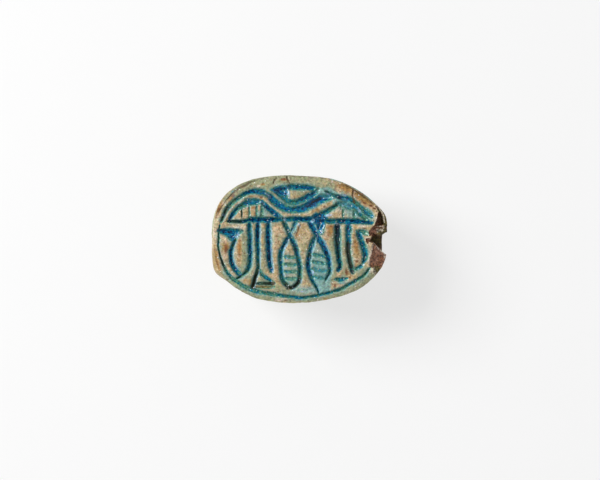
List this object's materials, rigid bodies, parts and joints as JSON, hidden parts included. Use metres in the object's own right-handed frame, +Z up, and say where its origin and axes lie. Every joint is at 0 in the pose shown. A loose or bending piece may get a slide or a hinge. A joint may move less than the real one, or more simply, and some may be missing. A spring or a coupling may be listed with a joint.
{
  "type": "scarab amulet",
  "caption": "Oval carved scarab amulet of glazed steatite with an engraved flat base, a beetle on the back and a lengthwise string bore.",
  "frame": {"origin": "under the middle of the amulet, on the surface that the beetle's back lies on", "axes": "+X along the amulet to its broken head end, +Y across the engraved face to its top, +Z up out of the engraved face"},
  "size_m": [0.017, 0.0124, 0.0076],
  "materials": {
    "glazed_steatite": "worn blue-green glaze, pooled in the carving over tan stone"
  },
  "bodies": {
    "root": {"scarab": "glazed_steatite"}
  },
  "joints": []
}
